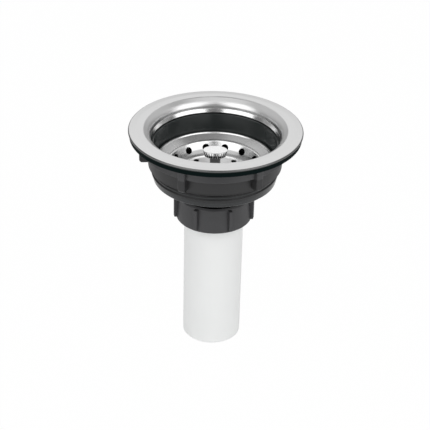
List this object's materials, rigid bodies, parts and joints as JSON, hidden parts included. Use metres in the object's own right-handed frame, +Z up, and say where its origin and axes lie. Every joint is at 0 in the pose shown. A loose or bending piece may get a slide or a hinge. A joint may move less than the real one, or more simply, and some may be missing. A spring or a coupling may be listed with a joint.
{
  "type": "basket strainer waste",
  "caption": "Kitchen sink waste: steel rim and throat over a moulded cup, perforated lift-out basket with knob and stopper, lugged locknut, ribbed coupling nut and straight tailpiece.",
  "frame": {"origin": "centre of the tailpiece's lower end, on the common axis", "axes": "+Z up the axis from the tailpiece to the rim, +Y away from the picture's camera, +X to its right"},
  "size_m": [0.114, 0.114, 0.1588],
  "materials": {
    "rim_steel": "satin rim face, polished throat",
    "basket_steel": "turned, lightly brushed",
    "knob_chrome": "bright, knurled edge",
    "post_steel": "turned",
    "dark_plastic": "moulded, glossy bowl",
    "nut_plastic": "moulded, semi-matt",
    "washer_plastic": "matt",
    "white_plastic": "extruded, soft sheen",
    "black_rubber": "moulded rubber"
  },
  "bodies": {
    "strainer": {"strainer_body": "dark_plastic", "sink_flange": "rim_steel", "rim_gasket": "black_rubber"},
    "clamp_washer": {"friction_washer": "washer_plastic"},
    "locknut": {"locknut": "nut_plastic"},
    "tail": {"tailpiece": "white_plastic", "tailpiece_washer": "black_rubber"},
    "coupling_nut": {"coupling_nut": "nut_plastic"},
    "catch": {"catch_ring": "black_rubber"},
    "basket": {"basket": "basket_steel", "knob": "knob_chrome", "post": "post_steel", "stopper_seal": "black_rubber", "seal_washer": "post_steel", "post_nut": "post_steel"}
  },
  "joints": [
    {"name": "basket_lift", "type": "slide", "parent": "strainer", "child": "catch", "axis": [0, 0, 1], "range_m": [0, 0.009]},
    {"name": "basket_spin", "type": "hinge", "parent": "catch", "child": "basket", "pos_m": [0, 0, 0.106], "axis": [0, 0, 1], "continuous": true},
    {"name": "locknut_travel", "type": "slide", "parent": "strainer", "child": "clamp_washer", "axis": [0, 0, 1], "range_m": [-0.012, 0]},
    {"name": "locknut_turn", "type": "hinge", "parent": "clamp_washer", "child": "locknut", "pos_m": [0, 0, 0.142], "axis": [0, 0, 1], "range_deg": [-1726, 0]},
    {"name": "tail_travel", "type": "slide", "parent": "strainer", "child": "tail", "axis": [0, 0, 1], "range_m": [-0.007, 0]},
    {"name": "coupling_turn", "type": "hinge", "parent": "tail", "child": "coupling_nut", "pos_m": [0, 0, 0.1025], "axis": [0, 0, 1], "range_deg": [-838, 0]}
  ],
  "couplings": [
    {"joint": "locknut_travel", "follows": "locknut_turn", "m_per_rad": 0.00039789},
    {"joint": "tail_travel", "follows": "coupling_turn", "m_per_rad": 0.00047746}
  ]
}
